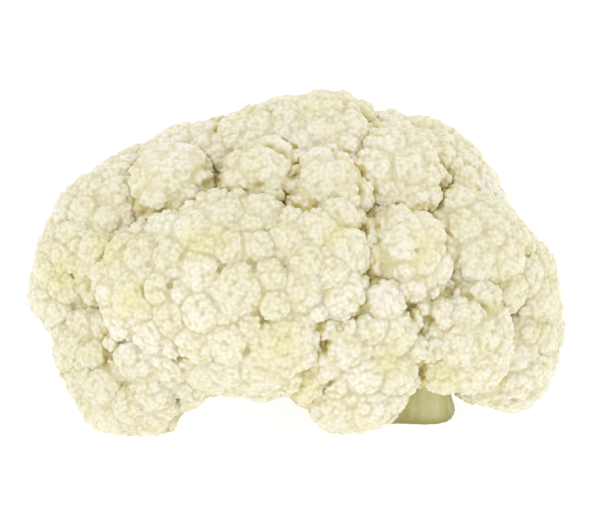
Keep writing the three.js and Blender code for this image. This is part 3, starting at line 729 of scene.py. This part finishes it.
class Shader:
    """Adds nodes to a material and links them."""

    def __init__(self, name):
        self.material = bpy.data.materials.new(name)
        self.material.use_nodes = True
        self.tree = self.material.node_tree
        self.tree.nodes.clear()

    def node(self, kind, **settings):
        """Adds a node of a kind with its settings."""
        made = self.tree.nodes.new(kind)
        for key, value in settings.items():
            setattr(made, key, value)
        return made

    def link(self, source, target):
        self.tree.links.new(source, target)

    def feed(self, socket, value):
        """Links an output to the socket, or sets the socket's constant."""
        if hasattr(value, "is_output"):
            self.link(value, socket)
        else:
            socket.default_value = value

    def number(self, name):
        """A number kept on the piece's vertices."""
        return self.node("ShaderNodeAttribute", attribute_name=name).outputs["Fac"]

    def noise(self, scale, detail=3.0, roughness=0.5, upright=1.0):
        """Soft noise, its scale for each metre, drawn out upwards when upright is under one."""
        made = self.node("ShaderNodeTexNoise")
        drawn = self.node("ShaderNodeMapping")
        drawn.inputs["Scale"].default_value = (1, 1, upright)
        self.link(self.node("ShaderNodeTexCoord").outputs["Object"], drawn.inputs["Vector"])
        self.link(drawn.outputs["Vector"], made.inputs["Vector"])
        made.inputs["Scale"].default_value = scale
        made.inputs["Detail"].default_value = detail
        made.inputs["Roughness"].default_value = roughness
        return made.outputs["Fac"]

    def span(self, value, low, high, out_low=0.0, out_high=1.0):
        """Eases from out_low where the value is low to out_high where it is high."""
        made = self.node("ShaderNodeMapRange", interpolation_type="SMOOTHSTEP")
        self.feed(made.inputs["Value"], value)
        made.inputs["From Min"].default_value = low
        made.inputs["From Max"].default_value = high
        made.inputs["To Min"].default_value = out_low
        made.inputs["To Max"].default_value = out_high
        return made.outputs["Result"]

    def maths(self, operation, a, b):
        """Joins two numbers by an operation."""
        made = self.node("ShaderNodeMath", operation=operation)
        self.feed(made.inputs[0], a)
        self.feed(made.inputs[1], b)
        return made.outputs["Value"]

    def mix(self, factor, a, b):
        """The colour a, with b over it as far as the factor."""
        made = self.node("ShaderNodeMix", data_type="RGBA")
        self.feed(made.inputs["Factor"], factor)
        self.feed(made.inputs[6], a)
        self.feed(made.inputs[7], b)
        return made.outputs[2]

    def finish(self, colour, roughness, grain, bump, soft):
        """The whole surface. A bump is its strength and its height in metres."""
        skin = self.node("ShaderNodeBsdfPrincipled")
        self.feed(skin.inputs["Base Color"], colour)
        self.feed(skin.inputs["Roughness"], roughness)
        skin.inputs["Subsurface Weight"].default_value = soft
        skin.inputs["Subsurface Radius"].default_value = SOFT_RADII
        skin.inputs["Subsurface Scale"].default_value = SOFT_DEPTH
        skin.inputs["Specular IOR Level"].default_value = GLOSS
        bumped = self.node("ShaderNodeBump")
        bumped.inputs["Strength"].default_value = bump[0]
        bumped.inputs["Distance"].default_value = bump[1]
        self.feed(bumped.inputs["Height"], grain)
        self.link(bumped.outputs["Normal"], skin.inputs["Normal"])
        output = self.node("ShaderNodeOutputMaterial")
        self.link(skin.outputs["BSDF"], output.inputs["Surface"])
        return self.material


# Light goes this deep into the flesh, in metres, in shares of red, green and blue.
SOFT_DEPTH = 0.002
SOFT_RADII = (1.0, 0.9, 0.6)
GLOSS = 0.35

# Colours of the curd.
CREAM = (0.79, 0.76, 0.60, 1)
PALE = (0.85, 0.82, 0.72, 1)
YELLOW = (0.78, 0.73, 0.42, 1)
# Painted shade in the creases among buds, knobs and florets.
CREASE_SHADE = (0.62, 0.56, 0.25, 1)
# Painted shade in the clefts between lobes.
CLEFT_SHADE = (0.63, 0.53, 0.19, 1)
# Painted shade in the deep pits.
PIT_SHADE = (0.54, 0.43, 0.15, 1)
STEM = (0.70, 0.70, 0.46, 1)
# Noises: scale for each metre, detail and roughness.
CREAM_NOISE = (38.0, 3.0)
YELLOW_NOISE = (95.0, 4.0, 0.6)
SEAM_NOISE = (160.0, 2.0)
ROUGH_NOISE = (420.0, 3.0)
GRAIN_NOISE = (2600.0, 2.0)
# Spans of a noise or a kept number, and what they become.
CREAM_SPAN = (0.42, 0.66)
YELLOW_SPAN = (0.5, 0.74, 0.0, 0.4)
# The bud, knob, seam and floret spans set how strongly the crease shade is painted.
BUD_SPAN = (0.6, -0.3, 0.0, 0.24)
KNOB_SPAN = (0.5, -0.2, 0.0, 0.25)
SEAM_SPAN = (0.35, 0.65, 0.06, 0.62)
FLORET_SPAN = (0.72, 0.45, 0.0, 0.7)
# How strongly the cleft shade is painted.
CLEFT_SHADE_SPAN = (0.8, 0.1, 0.0, 0.85)
ROUGH_SPAN = (0.3, 0.7, 0.48, 0.66)
TINT_STRENGTH = 0.75
CURD_BUMP = (0.25, 0.0002)
CURD_SOFTNESS = 0.35

# Colours of the stalk.
STALK_OLIVE = (0.42, 0.40, 0.14, 1)
STALK_YELLOW = (0.56, 0.53, 0.24, 1)
STALK_PALE = (0.68, 0.66, 0.42, 1)
# Painted contact shadow round the foot of the column.
STALK_CONTACT_SHADOW = (0.32, 0.26, 0.09, 1)
STALK_PITH = (0.72, 0.70, 0.46, 1)
STALK_CUT = (0.82, 0.80, 0.62, 1)
# Its noises, with how far each is drawn out upwards, and their spans.
STALK_NOISE = (60.0, 3.0)
STALK_SPAN = (0.35, 0.65)
STREAK_NOISE = (420.0, 4.0, 0.6, 0.12)
STREAK_SPAN = (0.4, 0.65)
PITH_NOISE = (500.0, 4.0, 0.6)
PITH_SPAN = (0.4, 0.7)
FIBRE_NOISE = (900.0, 4.0, 0.6, 0.3)
STREAK_STRENGTH = 0.55
RIB_STRENGTH = 0.4
STALK_ROUGHNESS = 0.45
STALK_BUMP = (0.4, 0.0004)
STALK_SOFTNESS = 0.2


def curd_material():
    """Creamy curd: paler in patches, with yellow tints, and painted shade in olive, ochre and brown
    in the creases, clefts and pits.
    """
    s = Shader("curd")
    drift = s.span(s.noise(*CREAM_NOISE), *CREAM_SPAN)
    patch = s.span(s.noise(*YELLOW_NOISE), *YELLOW_SPAN)
    tint = s.maths("MAXIMUM", patch, s.maths("MULTIPLY", s.number("tint"), TINT_STRENGTH))
    colour = s.mix(drift, CREAM, PALE)
    colour = s.mix(tint, colour, YELLOW)
    # Painted shade: olive darkening in the low places between buds and knobs, along the seams and
    # round the low edges of the florets.
    bud_low = s.span(s.number("bud"), *BUD_SPAN)
    knob_low = s.span(s.number("knob"), *KNOB_SPAN)
    uneven = s.span(s.noise(*SEAM_NOISE), *SEAM_SPAN)
    seam = s.maths("MULTIPLY", s.number("seam"), uneven)
    low = s.span(s.number("floret"), *FLORET_SPAN)
    crease_shade_mask = s.maths("MAXIMUM", s.maths("ADD", bud_low, knob_low), s.maths("MAXIMUM", seam, low))
    colour = s.mix(crease_shade_mask, colour, CREASE_SHADE)
    # Painted shade: ochre in the clefts between lobes.
    colour = s.mix(s.span(s.number("cleft_shade_mask"), *CLEFT_SHADE_SPAN), colour, CLEFT_SHADE)
    # Painted shade: brown in the deep pits.
    colour = s.mix(s.number("pit"), colour, PIT_SHADE)
    colour = s.mix(s.number("under"), colour, STEM)
    rough = s.span(s.noise(*ROUGH_NOISE), *ROUGH_SPAN)
    return s.finish(colour, rough, s.noise(*GRAIN_NOISE), CURD_BUMP, CURD_SOFTNESS)


def stalk_material():
    """Pale green stalk, ribbed along its length, with a paler cut face and a painted contact shadow
    round its foot.
    """
    s = Shader("stalk")
    drift = s.span(s.noise(*STALK_NOISE), *STALK_SPAN)
    streak = s.span(s.noise(*STREAK_NOISE), *STREAK_SPAN)
    colour = s.mix(drift, STALK_OLIVE, STALK_YELLOW)
    colour = s.mix(s.maths("MULTIPLY", streak, STREAK_STRENGTH), colour, STALK_PALE)
    colour = s.mix(s.maths("MULTIPLY", s.number("rib"), RIB_STRENGTH), colour, STALK_PALE)
    # Painted shadow: dark brown where the column's side meets the floor.
    colour = s.mix(s.number("rim"), colour, STALK_CONTACT_SHADOW)
    pith = s.mix(s.span(s.noise(*PITH_NOISE), *PITH_SPAN), STALK_PITH, STALK_CUT)
    colour = s.mix(s.number("cut"), colour, pith)
    return s.finish(colour, STALK_ROUGHNESS, s.noise(*FIBRE_NOISE), STALK_BUMP, STALK_SOFTNESS)


# The stalk.

def stalk_radius(angle, height):
    """Radius of the fluted column at an angle and a height, in mm, and how far it is on a rib."""
    flare = np.interp(height, FLARE_HEIGHTS, FLARE_SHARES)
    flute = STALK_FLUTE_DEPTH * np.cos(STALK_FLUTES * angle + FLUTE_TURN)
    oval = OVAL_DEPTH * np.cos(2 * angle + OVAL_TURN)
    sway = RIB_SWAY * np.sin(height * RIB_SWAY_RATE)
    fine = FINE_RIB_DEPTH * np.cos(FINE_RIBS * angle + sway)
    corner = STALK_CORNER * math.exp(-((angle - STALK_CORNER_WAY) / CORNER_SPREAD) ** 2)
    flat = STALK_FLAT * math.exp(-((angle - STALK_FLAT_WAY) / CORNER_SPREAD) ** 2)
    radius = STALK_RADIUS + STALK_FLARE * flare + flute + oval + fine + corner - flat
    return radius, flute / STALK_FLUTE_DEPTH


def ringed_rod(sides, rings):
    """A capped rod of radius and height one round the origin, with rings along it."""
    bm = bmesh.new()
    bmesh.ops.create_cone(
        bm, cap_ends=True, cap_tris=False, segments=sides, radius1=1, radius2=1, depth=1
    )
    upright = [e for e in bm.edges if abs(e.verts[0].co.z - e.verts[1].co.z) > 0.5]
    bmesh.ops.subdivide_edges(bm, edges=upright, cuts=rings)
    return bm


def end_caps(bm):
    """The rod's faces of more than four sides, which are its ends."""
    return [f for f in bm.faces if len(f.verts) > 4]


def add_stalk_piece(name, bm, ribs, cuts, contact_shadows, material):
    """Turns a mesh that is in place into a piece of the stalk, with a number for each vertex."""
    bm.normal_update()
    mesh = bpy.data.meshes.new(name)
    bm.to_mesh(mesh)
    bm.free()
    add_values(mesh, "rib", ribs)
    add_values(mesh, "cut", cuts)
    add_values(mesh, "rim", contact_shadows)
    for polygon in mesh.polygons:
        polygon.use_smooth = True
    mesh.materials.append(material)
    add_piece(mesh, "stalk")


def make_column(material):
    """The fluted, flared column with its cut face."""
    bm = ringed_rod(COLUMN_SIDES, COLUMN_RINGS)
    for share in CUT_RINGS:
        caps = end_caps(bm)
        width = min(v.co.xy.length for v in caps[0].verts) - share
        bmesh.ops.inset_region(bm, faces=caps, thickness=width)
    bmesh.ops.poke(bm, faces=end_caps(bm))
    ribs, cuts, contact_shadows = [], [], []
    for v in bm.verts:
        height = (v.co.z + 0.5) * STALK_HEIGHT
        share = v.co.xy.length
        angle = math.atan2(v.co.y, v.co.x)
        radius, rib = stalk_radius(angle, height)
        if abs(v.co.z) > 0.499 and share > CUT_SHARE:
            radius -= CUT_EDGE
        v.co = Vector((
            (STALK_X + math.cos(angle) * radius * share + LAYOUT_SHIFT[0]) * MM,
            (STALK_Y + math.sin(angle) * radius * share + LAYOUT_SHIFT[1]) * MM,
            height * MM,
        ))
        ribs.append(max(0.0, rib))
        on_cut = 1.0 if height < 0.01 and share < CUT_SHARE else 0.0
        ring = math.exp(-((share - CUT_RING_SHARE) / CUT_RING_WIDTH) ** 2)
        cuts.append(on_cut * (1 - CUT_RING_STRENGTH * ring))
        # Painted contact shadow on the side just above the cut.
        contact_shadows.append(math.exp(-(height / CONTACT_SHADOW_HEIGHT) ** 2) if share > CUT_SHARE else 0.0)
    values = np.array(ribs), np.array(cuts), np.array(contact_shadows)
    add_stalk_piece("stalk_column", bm, *values, material)


def make_branch(number, x, y, z, radius, material):
    """One tapered branch from the column out into the curd."""
    bm = ringed_rod(BRANCH_SIDES, BRANCH_RINGS)
    tip = np.array([x, y, z], float)
    lean = unit(tip - BRANCH_ROOT)
    side, rise = side_frame(lean)
    length = np.linalg.norm(tip - BRANCH_ROOT)
    ribs = []
    for v in bm.verts:
        share = v.co.z + 0.5
        angle = math.atan2(v.co.y, v.co.x)
        rib = math.cos(BRANCH_RIBS * angle + number)
        fine = math.cos(BRANCH_FINE_RIBS * angle)
        thick = BRANCH_ROOT_RADIUS + (radius - BRANCH_ROOT_RADIUS) * share
        thick *= 1 + BRANCH_RIB_DEPTH * rib + BRANCH_FINE_DEPTH * fine
        flat = side * math.cos(angle) + rise * math.sin(angle)
        place = BRANCH_ROOT + lean * length * share + flat * thick * v.co.xy.length
        v.co = Vector((place + LAYOUT_SHIFT) * MM)
        ribs.append(0.5 + 0.5 * rib)
    none = np.zeros(len(ribs))
    add_stalk_piece(f"stalk_branch_{number:02d}", bm, np.array(ribs), none, none, material)


# The studio.

# Half width of the floor in metres, its grey and the glow that makes it nearly white.
FLOOR_HALF = 6
FLOOR_GREY = (0.4, 0.4, 0.4, 1)
FLOOR_GLOW = 0.84
# Soft lamps: name, place in metres, power in watts and colour. All aim at the head's middle.
LAMPS = [
    ("key", (-0.5, -0.7, 0.9), 1.3, (1.0, 0.99, 0.96)),
    ("rim", (0.8, 0.5, 0.5), 1.5, (0.96, 0.98, 1.0)),
]
LAMP_AIM = (0, 0, 0.05)
LAMP_WIDTH = 0.5
SENSOR_WIDTH = 36.0


def add_floor():
    """A wide, plain, nearly white floor."""
    bm = bmesh.new()
    bmesh.ops.create_grid(bm, x_segments=2, y_segments=2, size=FLOOR_HALF)
    mesh = bpy.data.meshes.new("floor")
    bm.to_mesh(mesh)
    bm.free()
    s = Shader("floor")
    skin = s.node("ShaderNodeBsdfPrincipled")
    skin.inputs["Base Color"].default_value = FLOOR_GREY
    skin.inputs["Roughness"].default_value = 0.9
    skin.inputs["Emission Color"].default_value = (1, 1, 1, 1)
    skin.inputs["Emission Strength"].default_value = FLOOR_GLOW
    skin.inputs["Specular IOR Level"].default_value = 0.1
    s.link(skin.outputs["BSDF"], s.node("ShaderNodeOutputMaterial").inputs["Surface"])
    mesh.materials.append(s.material)
    floor = bpy.data.objects.new("floor", mesh)
    bpy.context.scene.collection.objects.link(floor)


def add_lamp(name, place, power, colour):
    """A square soft lamp at a place, turned to the head."""
    light = bpy.data.lights.new(name, "AREA")
    light.shape = "SQUARE"
    light.size = LAMP_WIDTH
    light.energy = power
    light.color = colour
    lamp = bpy.data.objects.new(name, light)
    lamp.location = place
    lamp.rotation_mode = "QUATERNION"
    lamp.rotation_quaternion = (Vector(LAMP_AIM) - Vector(place)).to_track_quat("-Z", "Y")
    bpy.context.scene.collection.objects.link(lamp)


def add_studio():
    """Floor, bright even surroundings, soft lamps and the camera at the photograph's angle."""
    add_floor()
    world = bpy.data.worlds.new("studio")
    world.use_nodes = True
    background = world.node_tree.nodes["Background"]
    background.inputs["Color"].default_value = (1, 1, 1, 1)
    background.inputs["Strength"].default_value = 1.0
    bpy.context.scene.world = world
    for lamp in LAMPS:
        add_lamp(*lamp)
    bpy.context.scene.view_settings.view_transform = "Standard"
    bpy.context.scene.view_settings.look = "None"
    camera = bpy.data.cameras.new("camera")
    camera.lens = LENS
    camera.sensor_width = SENSOR_WIDTH
    camera.clip_start = 0.05
    camera.clip_end = 50
    holder = bpy.data.objects.new("camera", camera)
    holder.location = Vector((EYE + LAYOUT_SHIFT) * MM)
    holder.rotation_euler = (math.pi / 2 - SIGHT_DROP, 0, 0)
    bpy.context.scene.collection.objects.link(holder)
    bpy.context.scene.camera = holder


def build():
    """The whole head and its studio."""
    rng = np.random.default_rng(SEED)
    lobes = [Lobe(balls) for balls in LOBES]
    for lobe in lobes:
        lobe.find_beside(lobes)
    for across, up, radius in FACE_FLORETS:
        add_face_floret(lobes, across, up, radius)
    add_fill_florets(lobes, rng)
    material = curd_material()
    for number, lobe in enumerate(lobes):
        make_lobe(number, lobe, material, rng)
    material = stalk_material()
    make_column(material)
    for number, entry in enumerate(BRANCHES):
        make_branch(number, *entry, material)
    add_studio()


build()
